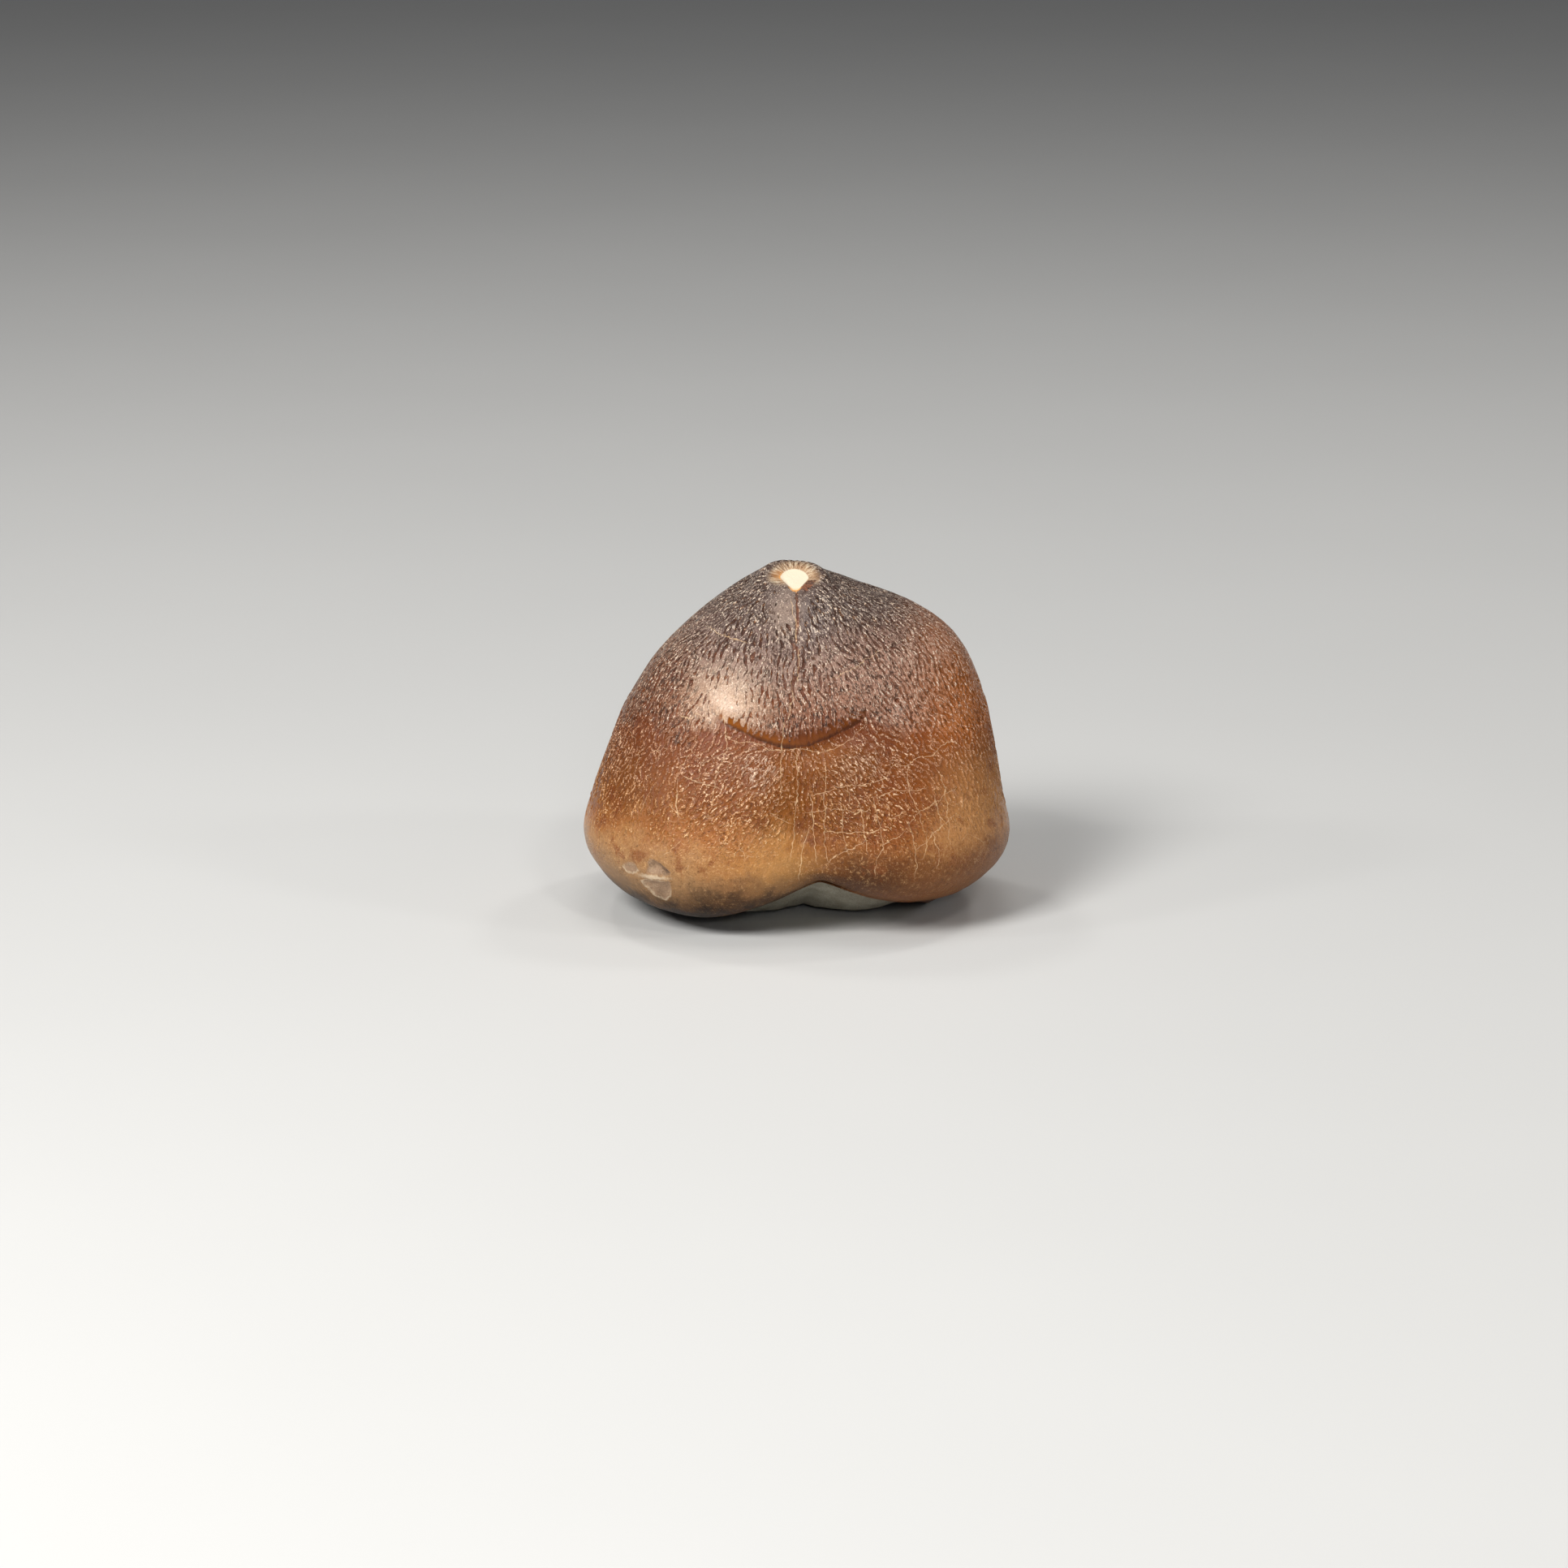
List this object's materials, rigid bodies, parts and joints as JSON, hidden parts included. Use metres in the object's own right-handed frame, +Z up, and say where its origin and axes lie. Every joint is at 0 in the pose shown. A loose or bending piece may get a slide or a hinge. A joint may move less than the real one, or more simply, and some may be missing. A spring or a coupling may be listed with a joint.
{
  "type": "fossil mosasaur tooth",
  "caption": "Low domed mosasaur tooth crown with wrinkled brown enamel, a blunt worn tip, a notched base and pale sediment in its pulp cavity.",
  "frame": {"origin": "on the plane the crown stands on, under the middle of its base", "axes": "+Z up towards the worn tip, front with the notch and the hollow towards -Y, long side of the oval base along X"},
  "size_m": [0.022, 0.0172, 0.018],
  "materials": {
    "enamel": "glossy wrinkled enamel, grey black at the tip, brown to amber below, with pale cracks",
    "sediment": "matt fine-grained grey sediment"
  },
  "bodies": {
    "root": {"crown": "enamel", "matrix_infill": "sediment"}
  },
  "joints": []
}
